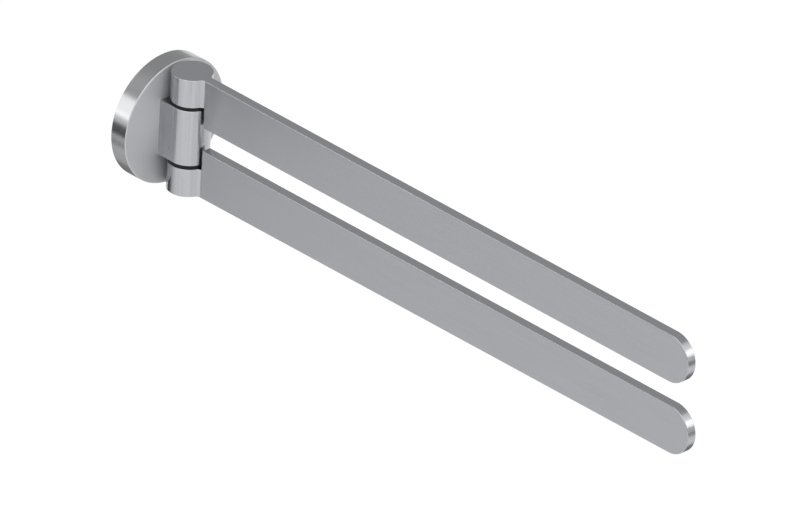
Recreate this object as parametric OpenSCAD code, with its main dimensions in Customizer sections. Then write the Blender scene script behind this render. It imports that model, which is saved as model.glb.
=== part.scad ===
// Swing arm towel bar.
// A round wall rosette carries a hinge post, and two flat blades, one above the other,
// swing about one upright pivot pin in that post. Units are millimetres.
// The origin is the centre of the rosette on the wall plane. +X points away from the
// wall, along the blades, and +Z points up.

/* [Rosette] */
// Outer diameter of the rosette
rosette_d = 63.5; // [60:0.5:80]
// Depth of the rosette, from the wall to its front face
rosette_depth = 9.9; // [9.4:0.1:13]
// Thickness of the rosette's front wall
rosette_front_t = 3.5; // [3:0.1:4]
// Thickness of the rosette's rim
rosette_rim_t = 3.5; // [3:0.1:4.5]
// Radius of the rosette's rounded front edge
rosette_edge_r = 0.5; // [0.2:0.1:1.5]

/* [Wall plate] */
// Thickness of the wall plate
plate_t = 5; // [4.6:0.1:5.4]
// Distance between the two wall screw holes
screw_spacing = 34; // [31:0.5:36]
// Diameter of each wall screw hole
screw_hole_d = 5.2; // [4:0.1:6]
// Diameter of the pocket that takes a wall screw's head
screw_pocket_d = 10.4; // [9:0.1:11]
// Depth of the pocket that takes a wall screw's head
screw_pocket_depth = 2.4; // [1.6:0.1:3]
// Diameter of the plate's middle hole, round the head of the post screw
plate_bore_d = 15; // [13:0.5:17]

/* [Hinge post] */
// Height of the hinge post
post_h = 29.2; // [27:0.1:40]
// Diameter of the two barrels, and width of the post between them
barrel_d = 20; // [18.5:0.5:26]
// Space between the turning barrels and the rosette
swing_gap = 0.3; // [0.2:0.1:1.5]

/* [Pivot] */
// Diameter of the pivot pin
pin_d = 8; // [7:0.1:9]
// Wall of the sleeve bush in each barrel
bush_wall = 1; // [0.8:0.1:1.5]
// Length of the sleeve bush in each barrel
bush_l = 7; // [5:0.5:7.5]
// Thickness of the thrust washer between the post and a barrel
washer_t = 1.8; // [0.6:0.1:2.5]
// How far the thrust washer's edge lies inside the barrel's surface
washer_inset = 0.2; // [0.1:0.1:2]
// Thickness of the friction ring's section
ring_section = 1.4; // [1.2:0.1:1.6]

/* [Arms] */
// Distance from the pivot to the tip of the upper blade
arm_reach = 337; // [200:1:450]
// How much further the lower blade reaches than the upper one
lower_extra = 2.2; // [0:0.1:20]
// Height of a blade
blade_h = 25; // [16:0.5:28]
// Thickness of a blade
blade_t = 5; // [3:0.5:8]
// Height of the barrel at the inner end of a blade
barrel_h = 14.6; // [14.4:0.1:20]
// Radius of the fillet between a barrel and its blade
neck_r = 2.5; // [1.5:0.1:4]

/* [Fasteners] */
// Thread diameter of the post screw
post_screw_d = 6; // [5:0.5:6]
// Diameter of the two dowels between the rosette and the post
dowel_d = 3; // [2:0.5:4]
// Distance of each dowel from the post screw
dowel_offset = 9.5; // [8:0.5:11]
// Thread diameter of the grub screw in the rosette's rim
rim_grub_d = 4; // [3:0.5:4]
// Thread diameter of the grub screw in each barrel
arm_grub_d = 3; // [2.5:0.5:3]

/* [Hidden] */
$fn = 96;

// Clearances
overrun = 0.5;       // how far a cutting shape runs past what it cuts
seat_gap = 0.02;     // a pressed or screwed piece in its hole
run_gap = 0.03;      // the pin in a bush
slack_gap = 0.2;     // the pin past the bush, and the screw in the rosette
end_gap = 0.4;       // the end of the pin in its blind bore
thrust_gap = 0.05;   // a barrel on its thrust washer
point_gap = 0.15;    // a grub screw's point in its groove
plate_gap = 0.4;     // the wall plate inside the rosette's rim

// Colours
satin_steel = [0.65, 0.65, 0.67];
bright_steel = [0.78, 0.78, 0.80];
zinc_steel = [0.70, 0.72, 0.74];
dark_steel = [0.22, 0.22, 0.23];
black_acetal = [0.10, 0.10, 0.11];
black_rubber = [0.05, 0.05, 0.05];

// Rosette and wall plate
rosette_r = rosette_d / 2;
rosette_inner_r = rosette_r - rosette_rim_t;
rosette_inner_x = rosette_depth - rosette_front_t;
rosette_back_chamfer = 0.4;
plate_r = rosette_inner_r - plate_gap;
plate_edge_chamfer = 0.5;
groove_depth = 1.5;
groove_x = 3.2;
rim_grub_recess = 0.5;
rim_grub_tip_r = 0.15;
rim_grub_tip_at = plate_r - groove_depth + rim_grub_tip_r + point_gap / 2;
locating_pin_d = 3;
locating_pin_in = 8.85;
locating_pin_up = plate_r - locating_pin_in;
locating_pin_back = 1.5;
locating_pin_cover = 1.3;

// Post and its screw
barrel_r = barrel_d / 2;
pivot_x = rosette_depth + swing_gap + barrel_r;
post_top = post_h / 2;
lock_washer_t = 1.2;
lock_washer_w = 2.2;
lock_washer_slit = 1.1;
head_d_share = 5 / 3;
head_d = post_screw_d * head_d_share;
head_h = 4;
head_socket_depth = 2.4;
head_socket_af = 4;
head_x = rosette_inner_x - lock_washer_t - head_h;
post_point_l = 1.6;
post_point_d = 3.6;
dimple_depth = 1.2;
pin_front_x = pivot_x - pin_d / 2;
post_screw_tip_x = pin_front_x + dimple_depth - point_gap;
post_pitch = 1;
dowel_in_post = 4.2;
dowel_hole_in_post = 4.5;
dowel_inset = 0.5;

// Pivot pin and what sits on it, counted from a barrel's inner face
barrel_bottom = post_top + washer_t + thrust_gap;
bush_r = pin_d / 2 + run_gap + bush_wall;
bush_seat_r = bush_r + seat_gap;
pin_bore_r = pin_d / 2 + slack_gap;
ring_land = 0.4;
ring_groove_w = ring_section + slack_gap;
ring_groove_at = bush_l + ring_land;
ring_outer_r = pin_bore_r - thrust_gap;
ring_mid_r = ring_outer_r - ring_section / 2;
ring_groove_r = ring_mid_r - ring_section / 2 - thrust_gap;
middle_land = 0.6;
arm_point_d = 2;
stop_groove_w = arm_point_d + 2 * point_gap;
stop_groove_at = ring_groove_at + ring_groove_w + middle_land;
stop_groove_depth = 0.8;
stop_groove_r = pin_d / 2 - stop_groove_depth;
end_land = 1;
pin_in_barrel = stop_groove_at + stop_groove_w + end_land;
pin_top = barrel_bottom + pin_in_barrel;
pin_end_chamfer = 0.5;
arm_grub_up = stop_groove_at + stop_groove_w / 2;
arm_grub_recess = 0.6;
arm_grub_pitch = 0.5;
arm_grub_inner = pin_bore_r + slack_gap;

// Blade
arm_top = barrel_bottom + barrel_h;
blade_bottom = arm_top - blade_h;
blade_end_r = blade_h / 2;
neck_side = blade_t / 2 + neck_r;
neck_x = sqrt(pow(barrel_r + neck_r, 2) - pow(neck_side, 2));

// Places a shape that is drawn along +Z so that it runs along +X
module along_x(x = 0) {
    translate([x, 0, 0]) rotate([0, 90, 0]) children();
}

// Mirrors an upper piece to the lower side
module on_side(side) {
    mirror([0, 0, side < 0 ? 1 : 0]) children();
}

// Threaded rod that starts at z = 0, its thread drawn as rings
module thread(d, pitch, l) {
    thread_depth_share = 0.6;
    crest = d / 2;
    root = crest - thread_depth_share * pitch;
    turns = floor(l / pitch);
    rotate_extrude()
        polygon(concat(
            [[0, 0]],
            [for (i = [0:turns - 1]) each [[root, i * pitch], [crest, (i + 0.5) * pitch]]],
            [[root, turns * pitch], [root, l], [0, l]]
        ));
}

// Hexagon socket cut, open at z = 0 and going up
module hex_socket(across_flats, depth) {
    translate([0, 0, -overrun])
        cylinder(d = across_flats / cos(30), h = depth + overrun, $fn = 6);
}

// Turned steel plate that is screwed to the wall inside the rosette
module wall_plate() {
    color(zinc_steel) difference() {
        along_x() rotate_extrude() difference() {
            polygon([
                [0, 0],
                [plate_r, 0],
                [plate_r, plate_t - plate_edge_chamfer],
                [plate_r - plate_edge_chamfer, plate_t],
                [0, plate_t]
            ]);
            polygon([
                [plate_r - groove_depth, groove_x],
                [plate_r + overrun, groove_x - groove_depth - overrun],
                [plate_r + overrun, groove_x + groove_depth + overrun]
            ]);
        }
        along_x(-overrun) cylinder(d = plate_bore_d, h = plate_t + 2 * overrun);
        for (side = [-1, 1]) translate([0, side * screw_spacing / 2, 0]) {
            along_x(-overrun) cylinder(d = screw_hole_d, h = plate_t + 2 * overrun);
            along_x(plate_t - screw_pocket_depth)
                cylinder(d = screw_pocket_d, h = screw_pocket_depth + overrun);
        }
        translate([0, 0, locating_pin_up]) along_x(-overrun)
            cylinder(d = locating_pin_d + 2 * point_gap, h = plate_t + 2 * overrun);
    }
}

// Round cover that hides the wall plate and carries the post
module rosette() {
    color(satin_steel) difference() {
        along_x() rotate_extrude() {
            polygon([
                [0, 0],
                [rosette_r - rosette_back_chamfer, 0],
                [rosette_r, rosette_back_chamfer],
                [rosette_r, rosette_depth - rosette_edge_r],
                [rosette_r - rosette_edge_r, rosette_depth - rosette_edge_r],
                [rosette_r - rosette_edge_r, rosette_depth],
                [0, rosette_depth]
            ]);
            translate([rosette_r - rosette_edge_r, rosette_depth - rosette_edge_r])
                intersection() {
                    circle(r = rosette_edge_r);
                    square(rosette_edge_r + overrun);
                }
        }
        along_x(-overrun) cylinder(r = rosette_inner_r, h = rosette_inner_x + overrun);
        along_x(rosette_inner_x - overrun)
            cylinder(d = post_screw_d + 2 * slack_gap, h = rosette_front_t + 2 * overrun);
        for (side = [-1, 1]) translate([0, 0, side * dowel_offset])
            along_x(rosette_inner_x - overrun)
                cylinder(d = dowel_d + 2 * seat_gap, h = rosette_front_t + 2 * overrun);
        translate([0, 0, locating_pin_up]) along_x(rosette_inner_x - overrun)
            cylinder(
                d = locating_pin_d + 2 * seat_gap,
                h = rosette_front_t - locating_pin_cover + overrun
            );
        translate([groove_x, 0, -rosette_r - overrun])
            cylinder(d = rim_grub_d + 2 * seat_gap, h = rosette_rim_t + 2 * overrun);
    }
}

// Cone point grub screw that locks the rosette on the wall plate from below
module rosette_grub() {
    rim_grub_pitch = 0.7;
    cone_base_at = rim_grub_tip_at + rim_grub_d / 2 - rim_grub_tip_r;
    outer_at = rosette_r - rim_grub_recess;
    socket_af = rim_grub_d / 2;
    color(dark_steel) translate([groove_x, 0, -outer_at]) difference() {
        union() {
            thread(rim_grub_d, rim_grub_pitch, outer_at - cone_base_at);
            translate([0, 0, outer_at - cone_base_at])
                cylinder(r1 = rim_grub_d / 2, r2 = rim_grub_tip_r, h = cone_base_at - rim_grub_tip_at);
        }
        hex_socket(socket_af, (outer_at - cone_base_at) * 0.8);
    }
}

// Pin in the rosette that keeps it from turning on the wall plate
module locating_pin() {
    color(bright_steel) translate([0, 0, locating_pin_up]) along_x(locating_pin_back)
        cylinder(
            d = locating_pin_d,
            h = rosette_depth - locating_pin_cover - seat_gap - locating_pin_back
        );
}

// D-shaped knuckle between the two barrels
module hinge_post() {
    color(satin_steel) difference() {
        union() {
            translate([pivot_x, 0, -post_top]) cylinder(r = barrel_r, h = post_h);
            translate([rosette_depth, -barrel_r, -post_top])
                cube([pivot_x - rosette_depth, barrel_d, post_h]);
        }
        translate([pivot_x, 0, -post_top - overrun])
            cylinder(d = pin_d + 2 * seat_gap, h = post_h + 2 * overrun);
        along_x(rosette_depth - overrun)
            cylinder(
                d = post_screw_d + 2 * seat_gap,
                h = pin_front_x - rosette_depth + 2 * overrun
            );
        for (side = [-1, 1]) translate([0, 0, side * dowel_offset])
            along_x(rosette_depth - overrun)
                cylinder(d = dowel_d + 2 * seat_gap, h = dowel_hole_in_post + overrun);
    }
}

// Cap screw that holds the post to the rosette and locks the pin with its point
module post_screw() {
    shank_x = head_x + head_h;
    point_x = post_screw_tip_x - post_point_l;
    color(bright_steel) difference() {
        union() {
            along_x(head_x) cylinder(d = head_d, h = head_h);
            along_x(shank_x) thread(post_screw_d, post_pitch, point_x - shank_x);
            along_x(point_x - overrun) cylinder(d = post_point_d, h = post_point_l + overrun);
        }
        along_x(head_x) hex_socket(head_socket_af, head_socket_depth);
    }
}

// Split spring washer under the head of the post screw
module lock_washer() {
    washer_r = post_screw_d / 2 + slack_gap / 2;
    color(bright_steel) difference() {
        along_x(rosette_inner_x - lock_washer_t)
            difference() {
                cylinder(r = washer_r + lock_washer_w, h = lock_washer_t);
                translate([0, 0, -overrun])
                    cylinder(r = washer_r, h = lock_washer_t + 2 * overrun);
            }
        translate([rosette_inner_x - lock_washer_t - overrun, 0, -lock_washer_slit / 2])
            cube([lock_washer_t + 2 * overrun, washer_r + lock_washer_w + overrun, lock_washer_slit]);
    }
}

// One of the two dowels that keep the post from turning on the rosette
module dowel(side) {
    color(bright_steel) translate([0, 0, side * dowel_offset])
        along_x(rosette_inner_x + dowel_inset)
            cylinder(d = dowel_d, h = rosette_front_t - dowel_inset + dowel_in_post);
}

// Upright pin that both arms turn on
module pivot_pin() {
    color(bright_steel) translate([pivot_x, 0, 0]) difference() {
        for (side = [-1, 1]) on_side(side) rotate_extrude()
            polygon([
                [0, 0],
                [pin_d / 2, 0],
                [pin_d / 2, barrel_bottom + ring_groove_at],
                [ring_groove_r, barrel_bottom + ring_groove_at],
                [ring_groove_r, barrel_bottom + ring_groove_at + ring_groove_w],
                [pin_d / 2, barrel_bottom + ring_groove_at + ring_groove_w],
                [pin_d / 2, barrel_bottom + stop_groove_at],
                [stop_groove_r, barrel_bottom + stop_groove_at],
                [stop_groove_r, barrel_bottom + stop_groove_at + stop_groove_w],
                [pin_d / 2, barrel_bottom + stop_groove_at + stop_groove_w],
                [pin_d / 2, pin_top - pin_end_chamfer],
                [pin_d / 2 - pin_end_chamfer, pin_top],
                [0, pin_top]
            ]);
        along_x(-pin_d / 2 - overrun)
            cylinder(d = post_point_d + 2 * point_gap, h = dimple_depth + overrun);
    }
}

// Slippery washer between the post and a barrel
module thrust_washer(side) {
    color(black_acetal) on_side(side) translate([pivot_x, 0, post_top]) difference() {
        cylinder(r = barrel_r - washer_inset, h = washer_t);
        translate([0, 0, -overrun])
            cylinder(r = pin_d / 2 + slack_gap, h = washer_t + 2 * overrun);
    }
}

// Rubber ring on the pin whose drag keeps an arm where it is put
module friction_ring(side) {
    color(black_rubber) on_side(side)
        translate([pivot_x, 0, barrel_bottom + ring_groove_at + ring_groove_w / 2])
            rotate_extrude() translate([ring_mid_r, 0]) circle(d = ring_section, $fn = 32);
}

// Sleeve bush pressed into a barrel
module sleeve_bush(side) {
    color(black_acetal) on_side(side) translate([pivot_x, 0, barrel_bottom]) difference() {
        cylinder(r = bush_r, h = bush_l);
        translate([0, 0, -overrun])
            cylinder(r = pin_d / 2 + run_gap, h = bush_l + 2 * overrun);
    }
}

// Plan of a barrel and the filleted neck that leads into its blade
module barrel_plan() {
    circle(r = barrel_r);
    difference() {
        polygon([[0, 0], [neck_x, -neck_side], [neck_x, neck_side]]);
        for (side = [-1, 1]) translate([neck_x, side * neck_side]) circle(r = neck_r);
    }
    translate([0, -blade_t / 2]) square([neck_x + overrun, blade_t]);
}

// Barrel and flat blade, made in one piece
module arm(side) {
    reach = side < 0 ? arm_reach + lower_extra : arm_reach;
    color(satin_steel) on_side(side) translate([pivot_x, 0, 0]) difference() {
        union() {
            translate([0, 0, barrel_bottom]) linear_extrude(height = barrel_h) barrel_plan();
            translate([neck_x, -blade_t / 2, blade_bottom])
                cube([reach - blade_end_r - neck_x, blade_t, blade_h]);
            translate([reach - blade_end_r, -blade_t / 2, blade_bottom + blade_end_r])
                rotate([-90, 0, 0]) cylinder(r = blade_end_r, h = blade_t);
        }
        translate([0, 0, barrel_bottom - overrun])
            cylinder(r = bush_seat_r, h = bush_l + overrun);
        translate([0, 0, barrel_bottom])
            cylinder(r = pin_bore_r, h = pin_in_barrel + end_gap);
        translate([-barrel_r - overrun, 0, barrel_bottom + arm_grub_up]) rotate([0, 90, 0])
            cylinder(d = arm_grub_d + 2 * seat_gap, h = barrel_r + overrun);
    }
}

// Dog point grub screw in the back of a barrel, which runs in the pin's outer groove
module arm_grub(side) {
    outer_at = barrel_r - arm_grub_recess;
    thread_l = outer_at - arm_grub_inner;
    point_l = arm_grub_inner - stop_groove_r - point_gap;
    socket_af = arm_grub_d / 2;
    color(dark_steel) on_side(side)
        translate([pivot_x - outer_at, 0, barrel_bottom + arm_grub_up]) rotate([0, 90, 0])
            difference() {
                union() {
                    thread(arm_grub_d, arm_grub_pitch, thread_l);
                    cylinder(d = arm_point_d, h = thread_l + point_l);
                }
                hex_socket(socket_af, thread_l / 2);
            }
}

wall_plate();
rosette();
rosette_grub();
locating_pin();
hinge_post();
post_screw();
lock_washer();
dowel(1);  // upper_dowel
dowel(-1);  // lower_dowel
pivot_pin();
thrust_washer(1);  // upper_washer
friction_ring(1);  // upper_ring
sleeve_bush(1);  // upper_bush
arm(1);  // upper_arm
arm_grub(1);  // upper_grub
thrust_washer(-1);  // lower_washer
friction_ring(-1);  // lower_ring
sleeve_bush(-1);  // lower_bush
arm(-1);  // lower_arm
arm_grub(-1);  // lower_grub
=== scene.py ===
"""Swing arm towel bar, dressed for the render. Lengths are in metres, in the part's own frame."""
import math

import bmesh
import bpy
from mathutils import Matrix, Vector


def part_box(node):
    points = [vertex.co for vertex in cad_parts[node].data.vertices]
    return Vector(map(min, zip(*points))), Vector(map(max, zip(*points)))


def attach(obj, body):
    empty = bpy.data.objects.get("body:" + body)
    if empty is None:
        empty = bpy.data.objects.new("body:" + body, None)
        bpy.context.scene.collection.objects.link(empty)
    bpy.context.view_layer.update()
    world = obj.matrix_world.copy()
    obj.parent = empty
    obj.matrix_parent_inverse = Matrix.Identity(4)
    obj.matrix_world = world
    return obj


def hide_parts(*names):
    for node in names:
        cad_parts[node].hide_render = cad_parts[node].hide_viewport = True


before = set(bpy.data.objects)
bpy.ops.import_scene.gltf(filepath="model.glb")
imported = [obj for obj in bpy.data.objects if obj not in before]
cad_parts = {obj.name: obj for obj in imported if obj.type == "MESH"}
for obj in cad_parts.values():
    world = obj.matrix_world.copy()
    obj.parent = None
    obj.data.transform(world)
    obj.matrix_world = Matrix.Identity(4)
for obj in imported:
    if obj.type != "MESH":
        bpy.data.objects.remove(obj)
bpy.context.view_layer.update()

MM = 0.001
Z_AXIS = Vector((0, 0, 1))
Y_AXIS = Vector((0, 1, 0))

# The photograph's view: no perspective, and a small roll
VIEW_AZIMUTH = math.radians(44.81)
VIEW_ELEVATION = math.radians(29.18)
VIEW_ROLL = math.radians(2.70)
VIEW_WIDTH = 372.96 * MM
VIEW_AIM = Vector((162.14, 0, -6.68)) * MM
VIEW_DISTANCE = 0.8

# Places on the part, from the frame
PIN_LOW, PIN_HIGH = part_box("pivot_pin")
POST_LOW, POST_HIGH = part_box("hinge_post")
ROSETTE_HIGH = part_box("rosette")[1]
PIN_R = (PIN_HIGH.y - PIN_LOW.y) / 2
HINGE = Vector(((PIN_LOW.x + PIN_HIGH.x) / 2, 0, 0))
# The barrels are as wide as the post
BARREL_R = POST_HIGH.y
TIP = Vector((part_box("upper_arm")[1].x, 0, 0))

# Sizes that the frame's boxes don't give
BLADE_T = 5 * MM
NECK_FILLET = 2.5 * MM
EDGE_SOFTNESS = 0.45 * MM
# How much wider a grub screw's hole is at its mouth, and how far a hole's cutter starts outside
HOLE_MOUTH = 0.3 * MM
HOLE_OVERRUN = 1 * MM
# Room round a pressed or screwed piece, round the turning pin, and past the pin's end
PRESS_GAP = 0.02 * MM
SLACK_GAP = 0.2 * MM
END_GAP = 0.4 * MM
# How far behind the rosette's front its rim's finish begins
FACE_EDGE = 0.4 * MM

# Angles between two faces: under the first they are one flat, over the others they meet in an edge
FLAT_TURN = math.radians(0.5)
EDGE_TURN = math.radians(30)
SHARP_TURN = math.radians(35)
# A point this near a plane lies on it, and points this near each other are one
NEAR = 0.01 * MM
WELD_GAP = 0.002 * MM
# A normal beyond this on an axis, from 0 to 1, faces along it
FACES_ALONG = 0.9
# How much a corner's shading follows its largest face: 50 goes by area alone, and 100 is the most
LARGE_FACES_LEAD = 100

# Facets of round shapes
BARREL_STEPS = 96
TIP_STEPS = 48
FILLET_STEPS = 10
HOLE_STEPS = 48
EDGE_STEPS = 3

# The studio's light: an even world, and a wide sun high on the camera's side
WORLD_LEVEL = 0.46
SUN_LEVEL = 2.12
SUN_SPREAD = math.radians(88)
SUN_FROM = Vector((0.5, -0.9, 1.8))
# The floor lies so far below that the part's shadow falls outside the view
FLOOR_HALF = 30
FLOOR_HEIGHT = -0.75
# The cards lie below the part and above the floor
FAR_CARD_HEIGHT = -0.73
CARD_HEIGHT = -0.25
BAND_CARD_HEIGHT = -0.10
WHITE = "#FBFBFB"
PALE_GREY = "#DADADA"
LIGHT_GREY = "#C4C4C4"
MIDDLE_GREY = "#808080"
BLACK = "#101010"

# How much of a surface's roughness comes from its smudges, and how ragged its marks are
SMUDGE_SHARE = 0.4
RAGGEDNESS = 0.55
# The part of the upright belt lines' noise that is spread from 0 to 1, so that streaks show
STREAK_LOW, STREAK_HIGH = 0.36, 0.64
# A face is level where its normal's upright part is over this
LEVEL = 0.5
# A sheen's small second direction, for where its first points straight out of the surface
LEVEL_SHEEN = 0.02
RIM_SHEEN = 0.4 * MM
# The blasted face: how much of its marks are pits, not rings, and how much duller than the rim it is
BLASTED_SHARE = 0.6
BLASTED_DULLNESS = 0.45
# How much of the wall plate's marks are clouds in the zinc, not rings
CLOUD_SHARE = 0.4

# Sockets of a Mix node, by number because their names repeat
SHARE, FIRST, SECOND, FIRST_COLOUR, SECOND_COLOUR = 0, 2, 3, 6, 7
MIXED, MIXED_COLOUR = 0, 2


def linear(hex_colour):
    """Linear RGBA of an sRGB hex colour."""
    channels = [int(hex_colour[i:i + 2], 16) / 255 for i in (1, 3, 5)]
    return [c / 12.92 if c <= 0.04045 else ((c + 0.055) / 1.055) ** 2.4 for c in channels] + [1.0]


def add_node(tree, kind, inputs=None, **settings):
    """Adds a shader node. An input, by name or number, takes a value or another node's socket."""
    node = tree.nodes.new(kind)
    for name, value in settings.items():
        setattr(node, name, value)
    for name, value in (inputs or {}).items():
        if isinstance(value, bpy.types.NodeSocket):
            tree.links.new(value, node.inputs[name])
        else:
            node.inputs[name].default_value = value
    return node


def made_object(name, bm):
    """A new object at the origin with the bmesh's shape. It ends the bmesh."""
    mesh = bpy.data.meshes.new(name)
    bm.to_mesh(mesh)
    bm.free()
    made = bpy.data.objects.new(name, mesh)
    bpy.context.scene.collection.objects.link(made)
    return made


# The studio: camera, floor, cards and lamps

def camera():
    """The photograph's camera, without perspective."""
    right = Vector((math.cos(VIEW_AZIMUTH), math.sin(VIEW_AZIMUTH), 0))
    back = Vector((
        math.sin(VIEW_AZIMUTH) * math.cos(VIEW_ELEVATION),
        -math.cos(VIEW_AZIMUTH) * math.cos(VIEW_ELEVATION),
        math.sin(VIEW_ELEVATION),
    ))
    up = back.cross(right)
    turn = Matrix((right, up, back)).transposed() @ Matrix.Rotation(VIEW_ROLL, 3, "Z")
    data = bpy.data.cameras.new("camera")
    data.type = "ORTHO"
    data.ortho_scale = VIEW_WIDTH
    made = bpy.data.objects.new("camera", data)
    made.matrix_world = Matrix.LocRotScale(VIEW_AIM + back * VIEW_DISTANCE, turn.to_quaternion(), None)
    bpy.context.scene.collection.objects.link(made)
    bpy.context.scene.camera = made


def stage_sheet(name, corners, hex_colour):
    """A flat dull sheet of the stage."""
    bm = bmesh.new()
    bmesh.ops.contextual_create(bm, geom=[bm.verts.new(corner) for corner in corners])
    sheet = made_object(name, bm)
    paint = bpy.data.materials.new(name)
    paint.use_nodes = True
    shader = paint.node_tree.nodes["Principled BSDF"]
    shader.inputs["Base Color"].default_value = linear(hex_colour)
    shader.inputs["Roughness"].default_value = 1
    shader.inputs["Specular IOR Level"].default_value = 0
    sheet.data.materials.append(paint)
    return sheet


def card(name, seen_from, height, corners, hex_colour):
    """A level card below the part, which only shows in the metal and leaves the floor plain.
    Each corner is the direction in plan, in degrees, and the distance from the place that sees it."""
    plan = [
        (seen_from.x + away * math.cos(math.radians(turn)),
         seen_from.y + away * math.sin(math.radians(turn)), height)
        for turn, away in corners
    ]
    sheet = stage_sheet(name, plan, hex_colour)
    sheet.visible_camera = sheet.visible_diffuse = sheet.visible_shadow = False


def soft_box(name, seen_from, azimuth, elevation, distance, width, height, power):
    """A soft lamp that faces the place that sees it, in the direction given in degrees."""
    lamp = bpy.data.lights.new(name, "AREA")
    lamp.shape = "RECTANGLE"
    lamp.size = width
    lamp.size_y = height
    lamp.energy = power
    turn, rise = math.radians(azimuth), math.radians(elevation)
    away = Vector((math.cos(turn) * math.cos(rise), math.sin(turn) * math.cos(rise), math.sin(rise)))
    made = bpy.data.objects.new(name, lamp)
    made.matrix_world = Matrix.LocRotScale(seen_from + away * distance, away.to_track_quat("Z", "Y"), None)
    made.visible_camera = False
    bpy.context.scene.collection.objects.link(made)


def studio():
    """World, sun and floor, and what the metal mirrors: cards and soft boxes, placed so that each
    surface comes out about as light or dark as in the photograph."""
    world = bpy.data.worlds.new("studio")
    bpy.context.scene.world = world
    world.use_nodes = True
    sky = world.node_tree.nodes["Background"]
    sky.inputs["Color"].default_value = (1, 1, 1, 1)
    sky.inputs["Strength"].default_value = WORLD_LEVEL

    sun = bpy.data.lights.new("soft_sun", "SUN")
    sun.energy = SUN_LEVEL
    sun.angle = SUN_SPREAD
    made = bpy.data.objects.new("soft_sun", sun)
    made.matrix_world = Matrix.LocRotScale(None, SUN_FROM.to_track_quat("Z", "Y"), None)
    bpy.context.scene.collection.objects.link(made)

    floor = [
        (x * FLOOR_HALF, y * FLOOR_HALF, FLOOR_HEIGHT)
        for x, y in ((-1, -1), (1, -1), (1, 1), (-1, 1))
    ]
    stage_sheet("floor", floor, WHITE)

    # Greys the blades, and darkens their hinge end
    card("far_card", HINGE, FAR_CARD_HEIGHT, [(200, 0.85), (200, 2.4), (236, 2.4), (252, 0.9)], PALE_GREY)
    card("near_card", HINGE, CARD_HEIGHT,
         [(185, 0.33), (185, 1.3), (215, 1.3), (214, 0.66), (223, 0.38), (222, 0.34)], BLACK)
    # Darkens a band on the left of the rosette's rim, a little above the hinge's middle
    card("band_card", HINGE, BAND_CARD_HEIGHT,
         [(222, 0.25), (222, 0.7), (242, 0.7), (242, 0.25)], BLACK)
    # Darkens the underside of the rim
    card("rim_card", HINGE, CARD_HEIGHT,
         [(132, 0.12), (132, 0.5), (184, 0.34), (184, 0.12)], MIDDLE_GREY)
    card("rim_card_side", HINGE, CARD_HEIGHT,
         [(184, 0.12), (184, 0.32), (218, 0.32), (218, 0.12)], LIGHT_GREY)
    # Darkens the underside of the blades' round ends, and a band at their middle
    card("tip_card_low", TIP, CARD_HEIGHT,
         [(70, 0.12), (70, 0.3), (110, 0.3), (136, 0.46), (136, 0.12)], MIDDLE_GREY)
    card("tip_card", TIP, CARD_HEIGHT, [(34, 0.54), (26, 1.39), (52, 2.0), (76, 1.03)], MIDDLE_GREY)
    # The bright spots on the rim's left and on the blades' round ends
    soft_box("left_box", HINGE, azimuth=232, elevation=4,
             distance=1.2, width=0.5, height=0.15, power=0.49)
    soft_box("left_box_high", HINGE, azimuth=228, elevation=18,
             distance=1.2, width=0.5, height=0.45, power=1.1)
    soft_box("tip_box", TIP, azimuth=41.6, elevation=19,
             distance=1.0, width=0.4, height=0.36, power=0.9)
    soft_box("tip_box_high", TIP, azimuth=50, elevation=38,
             distance=1.0, width=0.5, height=0.5, power=0.6)


# Shapes

def weld(bm):
    """Joins points that coincide, and turns the faces outwards."""
    bmesh.ops.remove_doubles(bm, verts=bm.verts, dist=WELD_GAP)
    bmesh.ops.recalc_face_normals(bm, faces=bm.faces)


def soften(bm, held=()):
    """Rounds each edge of the solid, but for the held ones."""
    sharp = [e for e in bm.edges if e not in held and e.is_manifold and e.calc_face_angle() > EDGE_TURN]
    bmesh.ops.bevel(
        bm, geom=sharp, offset=EDGE_SOFTNESS, offset_type="OFFSET", segments=EDGE_STEPS,
        profile=0.5, affect="EDGES", material=-1, clamp_overlap=True,
    )


def chain(bm, start, turns):
    """Runs an outline from start through arcs and straight stretches.

    Each turn is a point to run straight to, or (centre, axis, degrees, steps) of an arc."""
    last = bm.verts.new(start)
    for turn in turns:
        if isinstance(turn, Vector):
            point = bm.verts.new(turn)
            bm.edges.new((last, point))
            last = point
            continue
        centre, axis, degrees, steps = turn
        spun = bmesh.ops.spin(
            bm, geom=[last], cent=centre, axis=axis, angle=math.radians(degrees),
            steps=steps, use_merge=False, use_duplicate=False,
        )
        last = [g for g in spun["geom_last"] if isinstance(g, bmesh.types.BMVert)][0]


def fill_and_extrude(bm, depth):
    """Closes and fills the outline, and extrudes it by the depth, a vector."""
    face = bmesh.ops.contextual_create(bm, geom=bm.verts[:] + bm.edges[:])["faces"][0]
    grown = bmesh.ops.extrude_face_region(bm, geom=[face])
    moved = [g for g in grown["geom"] if isinstance(g, bmesh.types.BMVert)]
    bmesh.ops.translate(bm, vec=depth, verts=moved)


def open_at(bm, x, above):
    """Takes out the faces that lie across the given x, above the given height."""
    middles = [(f, f.calc_center_median()) for f in bm.faces]
    across = [f for f, middle in middles if abs(middle.x - x) < NEAR and middle.z > above]
    bmesh.ops.delete(bm, geom=across, context="FACES_ONLY")


def turned_cutter(name, profile, place):
    """A solid of revolution about its own Z, from (radius, height) points, to cut with."""
    bm = bmesh.new()
    points = [bm.verts.new((r, 0, z)) for r, z in profile]
    for a, b in zip(points, points[1:]):
        bm.edges.new((a, b))
    bmesh.ops.spin(
        bm, geom=bm.verts[:] + bm.edges[:], cent=(0, 0, 0), axis=Z_AXIS, angle=math.tau,
        steps=HOLE_STEPS, use_merge=True, use_duplicate=False,
    )
    bmesh.ops.transform(bm, matrix=place, verts=bm.verts)
    weld(bm)
    return made_object(name, bm)


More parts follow.
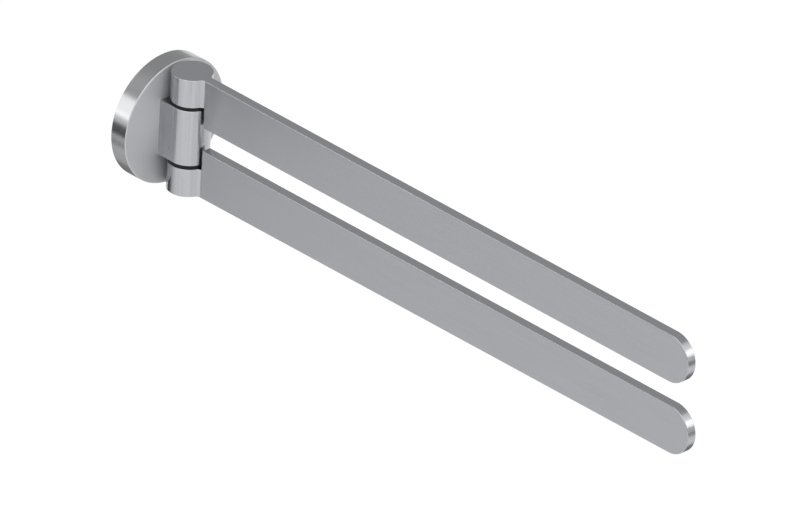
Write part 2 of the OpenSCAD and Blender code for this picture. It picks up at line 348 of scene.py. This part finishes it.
def cut(piece, cutters):
    """Takes the cutters' solids out of the piece, and removes the cutters."""
    for cutter in cutters:
        tool = piece.modifiers.new(cutter.name, "BOOLEAN")
        tool.operation = "DIFFERENCE"
        tool.solver = "EXACT"
        tool.object = cutter
    bpy.context.view_layer.update()
    result = bpy.data.meshes.new_from_object(piece.evaluated_get(bpy.context.evaluated_depsgraph_get()))
    piece.modifiers.clear()
    old = piece.data
    piece.data = result
    bpy.data.meshes.remove(old)
    for cutter in cutters:
        bpy.data.objects.remove(cutter)


def place_piece(piece, node, body, finish):
    """The piece stands for the node, rides on the body and takes the finish."""
    piece.data.shade_smooth()
    piece.data.set_sharp_from_angle(angle=SHARP_TURN)
    weigh = piece.modifiers.new("flat_faces_stay_flat", "WEIGHTED_NORMAL")
    weigh.keep_sharp = True
    weigh.weight = LARGE_FACES_LEAD
    piece.data.materials.clear()
    piece.data.materials.append(finish)
    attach(piece, body)
    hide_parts(node)


def arm_body(barrel_low, blade_low, top, reach):
    """Barrel, neck and blade in one solid, with the barrel above the blade's lower edge."""
    # The fillets touch the barrel and the blade's sides, and their centres lie at the neck's x
    half = BLADE_T / 2
    neck_side = half + NECK_FILLET
    neck = HINGE.x + math.sqrt((BARREL_R + NECK_FILLET) ** 2 - neck_side ** 2)
    neck_turn = math.degrees(math.acos(neck_side / (BARREL_R + NECK_FILLET)))

    # The barrel and its filleted neck, open where the blade goes on
    bm = bmesh.new()
    chain(bm, Vector((neck, -half, barrel_low)), [
        (Vector((neck, -neck_side, barrel_low)), -Z_AXIS, -neck_turn, FILLET_STEPS),
        (HINGE, -Z_AXIS, 180 + 2 * neck_turn, BARREL_STEPS),
        (Vector((neck, neck_side, barrel_low)), -Z_AXIS, -neck_turn, FILLET_STEPS),
    ])
    fill_and_extrude(bm, Z_AXIS * (top - barrel_low))
    open_at(bm, neck, barrel_low)

    # The blade, a flat with a round end, open over the height of the neck
    blade = bmesh.new()
    tip_r = (top - blade_low) / 2
    tip = reach - tip_r
    chain(blade, Vector((tip, -half, blade_low)), [
        (Vector((tip, -half, blade_low + tip_r)), -Y_AXIS, 180, TIP_STEPS),
        Vector((neck, -half, top)),
        Vector((neck, -half, barrel_low)),
        Vector((neck, -half, blade_low)),
    ])
    fill_and_extrude(blade, Y_AXIS * BLADE_T)
    open_at(blade, neck, barrel_low)
    blade_mesh = bpy.data.meshes.new("blade")
    blade.to_mesh(blade_mesh)
    blade.free()
    bm.from_mesh(blade_mesh)
    bpy.data.meshes.remove(blade_mesh)
    weld(bm)

    # Barrel and blade share one level top, so the line where they meet there isn't an edge
    seam = [
        e for e in bm.edges
        if e.is_manifold and e.calc_face_angle() < FLAT_TURN
        and all(abs(v.co.x - neck) < NEAR and abs(v.co.z - top) < NEAR for v in e.verts)
    ]
    bmesh.ops.dissolve_edges(bm, edges=seam, use_verts=False)
    soften(bm)
    return bm


def arm(which, side, finish):
    """The upper or lower arm with its holes. Heights are worked out as for the upper arm. side is 1
    for that one, and -1 for the lower arm, which is its mirror image but for its reach."""
    low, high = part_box(which + "_arm")
    bush_low, bush_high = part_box(which + "_bush")
    grub_low, grub_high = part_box(which + "_grub")
    blade_low, top = (low.z, high.z) if side > 0 else (-high.z, -low.z)
    barrel_low, bush_top = (bush_low.z, bush_high.z) if side > 0 else (-bush_high.z, -bush_low.z)
    pin_end = (PIN_HIGH.z if side > 0 else -PIN_LOW.z) + END_GAP

    bm = arm_body(barrel_low, blade_low, top, high.x)
    if side < 0:
        bmesh.ops.scale(bm, vec=(1, 1, -1), verts=bm.verts)
        bmesh.ops.recalc_face_normals(bm, faces=bm.faces)
    piece = made_object(which + "_arm_body", bm)

    # The bore is wide for the bush, and goes on narrower past the pin's end
    bush_r = bush_high.y + PRESS_GAP
    pin_r = PIN_R + SLACK_GAP
    mouth_low = barrel_low - HOLE_OVERRUN
    bore = [
        (0, mouth_low), (bush_r, mouth_low), (bush_r, bush_top),
        (pin_r, bush_top), (pin_r, pin_end), (0, pin_end),
    ]
    # The grub screw's hole comes in from the back, with a conical mouth
    grub_r = (grub_high.y - grub_low.y) / 2 + PRESS_GAP
    mouth = HOLE_OVERRUN + HOLE_MOUTH
    grub_hole = [(0, 0), (grub_r + mouth, 0), (grub_r, mouth), (grub_r, BARREL_R), (0, BARREL_R)]
    outside = Vector((HINGE.x - BARREL_R - HOLE_OVERRUN, 0, (grub_low.z + grub_high.z) / 2))
    inward = Matrix.Translation(outside) @ Matrix.Rotation(math.pi / 2, 4, "Y")
    cut(piece, [
        turned_cutter("bore", bore, Matrix.Translation(HINGE) @ Matrix.Diagonal((1, 1, side, 1))),
        turned_cutter("grub_hole", grub_hole, inward),
    ])
    place_piece(piece, which + "_arm", which + "_arm", finish)


def hinge_post(finish):
    """The D-shaped knuckle, with its upright bore."""
    bm = bmesh.new()
    chain(bm, Vector((POST_LOW.x, -BARREL_R, POST_LOW.z)), [
        Vector((HINGE.x, -BARREL_R, POST_LOW.z)),
        (Vector((HINGE.x, 0, POST_LOW.z)), Z_AXIS, 180, BARREL_STEPS // 2),
        Vector((POST_LOW.x, BARREL_R, POST_LOW.z)),
    ])
    fill_and_extrude(bm, Z_AXIS * (POST_HIGH.z - POST_LOW.z))
    weld(bm)
    against_rosette = {e for f in bm.faces if f.normal.x < -FACES_ALONG for e in f.edges}
    soften(bm, held=against_rosette)
    piece = made_object("hinge_post_body", bm)
    bore_r = PIN_R + PRESS_GAP
    bore_low, bore_high = POST_LOW.z - HOLE_OVERRUN, POST_HIGH.z + HOLE_OVERRUN
    bore = [(0, bore_low), (bore_r, bore_low), (bore_r, bore_high), (0, bore_high)]
    cut(piece, [turned_cutter("bore", bore, Matrix.Translation(HINGE))])
    place_piece(piece, "hinge_post", "wall_base", finish)


# Finishes

def new_finish(name):
    """An empty material, its node tree, and the coordinates of the piece that wears it."""
    material = bpy.data.materials.new(name)
    material.use_nodes = True
    material.node_tree.nodes.clear()
    return material, material.node_tree, add_node(material.node_tree, "ShaderNodeTexCoord").outputs


def grain(tree, place, spacing, detail=2.0):
    """Noise from 0 to 1 whose marks have the given size along each axis."""
    stretched = add_node(tree, "ShaderNodeMapping", {"Vector": place, "Scale": [1 / s for s in spacing]})
    return add_node(tree, "ShaderNodeTexNoise", {
        "Vector": stretched.outputs[0], "Scale": 1.0, "Detail": detail, "Roughness": RAGGEDNESS,
    }).outputs[0]


def around(tree, place):
    """Coordinates for turning marks round the X axis. The first changes across the marks, both on
    a face and on a rim. The others are the direction out from the axis, and change along them, so
    a mark's length there is a share of its radius."""
    x, y, z = add_node(tree, "ShaderNodeSeparateXYZ", {0: place}).outputs
    squared = add_node(tree, "ShaderNodeMath", {0: z, 1: z}, operation="MULTIPLY").outputs[0]
    squares = add_node(
        tree, "ShaderNodeMath", {0: y, 1: y, 2: squared}, operation="MULTIPLY_ADD",
    ).outputs[0]
    radius = add_node(tree, "ShaderNodeMath", {0: squares}, operation="SQRT").outputs[0]
    return add_node(tree, "ShaderNodeCombineXYZ", {
        0: add_node(tree, "ShaderNodeMath", {0: x, 1: radius}, operation="ADD").outputs[0],
        1: add_node(tree, "ShaderNodeMath", {0: y, 1: radius}, operation="DIVIDE").outputs[0],
        2: add_node(tree, "ShaderNodeMath", {0: z, 1: radius}, operation="DIVIDE").outputs[0],
    }).outputs[0]


def sheen_direction(tree, x, y, z):
    """A direction on the piece's own axes, along which a finish draws its reflections out."""
    own = add_node(tree, "ShaderNodeCombineXYZ", {0: x, 1: y, 2: z}).outputs[0]
    return add_node(
        tree, "ShaderNodeVectorTransform", {0: own},
        vector_type="VECTOR", convert_from="OBJECT", convert_to="WORLD",
    ).outputs[0]


def surface(tree, lines, smudges, colours, roughness, relief, shader_inputs):
    """Shades a surface. Its lines set its relief and take its colour from the first of its pair to
    the second. Lines and smudges together do so with its roughness."""
    shade = add_node(
        tree, "ShaderNodeMix", {SHARE: lines, FIRST_COLOUR: colours[0], SECOND_COLOUR: colours[1]},
        data_type="RGBA",
    ).outputs[MIXED_COLOUR]
    wear = add_node(
        tree, "ShaderNodeMix", {SHARE: SMUDGE_SHARE, FIRST: lines, SECOND: smudges},
    ).outputs[MIXED]
    rough = add_node(
        tree, "ShaderNodeMix", {SHARE: wear, FIRST: roughness[0], SECOND: roughness[1]},
    ).outputs[MIXED]
    bump = add_node(
        tree, "ShaderNodeBump", {"Strength": 1.0, "Distance": relief, "Height": lines},
    ).outputs[0]
    shader = add_node(tree, "ShaderNodeBsdfPrincipled", {
        "Base Color": shade, "Roughness": rough, "Normal": bump, **shader_inputs,
    })
    add_node(tree, "ShaderNodeOutputMaterial", {0: shader.outputs[0]})


def belt_lines(tree, place):
    """The lines of the abrasive belt: upright round the barrels' sides, and along X elsewhere."""
    along = grain(tree, place["Object"], (45 * MM, 0.6 * MM, 0.6 * MM))
    upright = grain(tree, place["Object"], (1.4 * MM, 1.4 * MM, 60 * MM), detail=3.0)
    upright = add_node(tree, "ShaderNodeMapRange", {
        "Value": upright, "From Min": STREAK_LOW, "From Max": STREAK_HIGH,
    }).outputs[0]
    x = add_node(tree, "ShaderNodeSeparateXYZ", {0: place["Object"]}).outputs[0]
    up = add_node(tree, "ShaderNodeSeparateXYZ", {0: place["Normal"]}).outputs[2]
    levelness = add_node(tree, "ShaderNodeMath", {0: up}, operation="ABSOLUTE").outputs[0]
    neck = HINGE.x + BARREL_R + NECK_FILLET / 2
    on_barrel = add_node(tree, "ShaderNodeMath", {0: x, 1: neck}, operation="LESS_THAN").outputs[0]
    on_side = add_node(tree, "ShaderNodeMath", {0: levelness, 1: LEVEL}, operation="LESS_THAN").outputs[0]
    round_it = add_node(
        tree, "ShaderNodeMath", {0: on_barrel, 1: on_side}, operation="MULTIPLY",
    ).outputs[0]
    return add_node(
        tree, "ShaderNodeMix", {SHARE: round_it, FIRST: along, SECOND: upright},
    ).outputs[MIXED]


def satin_stainless():
    """Stainless steel, satin finished on an abrasive belt: a soft grey sheen full of fine straight
    lines. Real ones are about 0.1 mm apart, too fine to show. They are drawn 0.6 mm apart along
    the blades, and 1.4 mm apart round the barrels."""
    material, tree, place = new_finish("satin_stainless_steel")
    smudges = grain(tree, place["Object"], (30 * MM, 14 * MM, 14 * MM), detail=3.0)
    # Reflections spread upright, across the blades' lines, and along Y on a level face
    across = sheen_direction(tree, 0.0, LEVEL_SHEEN, 1.0)
    surface(
        tree, belt_lines(tree, place), smudges, colours=(linear("#AEAFB3"), linear("#BABBBF")),
        roughness=(0.2, 0.3), relief=0.008 * MM,
        shader_inputs={"Metallic": 1.0, "Anisotropic": 0.3, "Tangent": across},
    )
    return material


def turned_stainless():
    """Stainless steel, satin finished while it turned: fine rings round the rim and on the face,
    which is bead blasted after it, so it is duller and finely pitted. The face is paler than the
    rim, partly from the blasting and partly as painted light. Real rings and pits are about
    0.1 mm apart, too fine to show, and they are drawn 0.5 mm apart."""
    material, tree, place = new_finish("turned_stainless_steel")
    x, y, z = add_node(tree, "ShaderNodeSeparateXYZ", {0: place["Object"]}).outputs
    rings = grain(tree, around(tree, place["Object"]), (0.5 * MM, 0.35, 0.35))
    pits = grain(tree, place["Object"], (0.5 * MM,) * 3, detail=3.0)
    smudges = grain(tree, place["Object"], (14 * MM,) * 3, detail=3.0)
    face = add_node(
        tree, "ShaderNodeMath", {0: x, 1: ROSETTE_HIGH.x - FACE_EDGE}, operation="GREATER_THAN",
    ).outputs[0]
    pitted = add_node(tree, "ShaderNodeMath", {0: face, 1: BLASTED_SHARE}, operation="MULTIPLY").outputs[0]
    marks = add_node(tree, "ShaderNodeMix", {SHARE: pitted, FIRST: rings, SECOND: pits}).outputs[MIXED]
    dull = [
        add_node(
            tree, "ShaderNodeMath", {0: face, 1: BLASTED_DULLNESS, 2: rim}, operation="MULTIPLY_ADD",
        ).outputs[0]
        for rim in (0.18, 0.28)
    ]
    # Rim and face colours: the face's paler pair is partly the blasting and partly painted light
    shades = [
        add_node(
            tree, "ShaderNodeMix",
            {SHARE: face, FIRST_COLOUR: linear(rim), SECOND_COLOUR: linear(blasted_and_painted_light)}, data_type="RGBA",
        ).outputs[MIXED_COLOUR]
        for rim, blasted_and_painted_light in (("#AEAFB1", "#CCCDCF"), ("#B8B9BB", "#D6D7D9"))
    ]
    # Reflections spread across the rings: out from the axis on the face, or along it on the rim
    across = sheen_direction(tree, RIM_SHEEN, y, z)
    surface(
        tree, marks, smudges, colours=shades, roughness=dull, relief=0.006 * MM,
        shader_inputs={"Metallic": 1.0, "Anisotropic": 0.4, "Tangent": across},
    )
    return material


def zinc_plated():
    """Zinc plated steel: pale, a little blue, with the turning marks of the plate under the zinc
    and a faint cloudiness. Real marks are 0.2 mm apart, and are drawn 0.6 mm apart to show."""
    material, tree, place = new_finish("zinc_plated_steel")
    rings = grain(tree, around(tree, place["Object"]), (0.6 * MM, 0.3, 0.3))
    clouds = grain(tree, place["Object"], (4 * MM,) * 3, detail=4.0)
    marks = add_node(
        tree, "ShaderNodeMix", {SHARE: CLOUD_SHARE, FIRST: rings, SECOND: clouds},
    ).outputs[MIXED]
    surface(
        tree, marks, clouds, colours=(linear("#A9AFB6"), linear("#C2C8CE")),
        roughness=(0.3, 0.48), relief=0.01 * MM,
        shader_inputs={"Metallic": 1.0},
    )
    return material


def ground_steel():
    """Ground steel of screws, dowels and pins: bright, with faint marks all over. Real marks are
    0.05 mm wide, and are drawn 0.4 mm wide to show."""
    material, tree, place = new_finish("ground_steel")
    marks = grain(tree, place["Object"], (0.4 * MM,) * 3)
    smudges = grain(tree, place["Object"], (3 * MM,) * 3)
    surface(
        tree, marks, smudges, colours=(linear("#BDBDC0"), linear("#D2D2D4")),
        roughness=(0.2, 0.36), relief=0.004 * MM,
        shader_inputs={"Metallic": 1.0},
    )
    return material


def blackened_steel():
    """Blackened steel of grub screws: near black with a dull oily sheen and paler patches. Its fine
    marks are drawn 0.3 mm wide, several times their real width, to show."""
    material, tree, place = new_finish("blackened_steel")
    marks = grain(tree, place["Object"], (0.3 * MM,) * 3)
    patches = grain(tree, place["Object"], (1.5 * MM,) * 3)
    surface(
        tree, patches, marks, colours=(linear("#1C1C1E"), linear("#38383B")),
        roughness=(0.35, 0.55), relief=0.005 * MM,
        shader_inputs={"Metallic": 1.0},
    )
    return material


def black_acetal():
    """Black acetal washers and bushes, turned from rod: a dark waxy sheen with fine rings. Their
    near black is partly the acetal's own colour and partly painted shade for the gap between the
    knuckles. Real rings are 0.1 mm apart, and are drawn 0.3 mm apart to show."""
    material, tree, place = new_finish("black_acetal")
    rings = grain(tree, place["Object"], (2 * MM, 2 * MM, 0.3 * MM))
    smudges = grain(tree, place["Object"], (5 * MM,) * 3)
    # Near black: the acetal's colour, and partly painted shade in the gap between the knuckles
    surface(
        tree, rings, smudges, colours=(linear("#0A0A0B"), linear("#141415")),
        roughness=(0.38, 0.55), relief=0.006 * MM,
        shader_inputs={"IOR": 1.48, "Specular IOR Level": 0.25},
    )
    return material


def black_rubber():
    """Black nitrile rubber rings: dull, with paler patches and a faint powdery grain, which is drawn
    0.15 mm wide, far coarser than powder, to show."""
    material, tree, place = new_finish("black_rubber")
    powder = grain(tree, place["Object"], (0.15 * MM,) * 3)
    patches = grain(tree, place["Object"], (1.5 * MM,) * 3)
    surface(
        tree, powder, patches, colours=(linear("#0C0C0C"), linear("#1B1B1B")),
        roughness=(0.6, 0.85), relief=0.01 * MM,
        shader_inputs={"IOR": 1.52},
    )
    return material


# The scene, put together

camera()
bpy.context.scene.view_settings.view_transform = "Standard"
studio()

satin = satin_stainless()
arm("upper", 1, satin)
arm("lower", -1, satin)
hinge_post(satin)

for finish, names in (
    (turned_stainless(), ["rosette"]),
    (zinc_plated(), ["wall_plate"]),
    (ground_steel(), [
        "locating_pin", "post_screw", "lock_washer", "upper_dowel", "lower_dowel", "pivot_pin",
    ]),
    (blackened_steel(), ["rosette_grub", "upper_grub", "lower_grub"]),
    (black_acetal(), ["upper_washer", "lower_washer", "upper_bush", "lower_bush"]),
    (black_rubber(), ["upper_ring", "lower_ring"]),
):
    for name in names:
        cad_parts[name].material_slots[0].material = finish

bpy.context.view_layer.update()
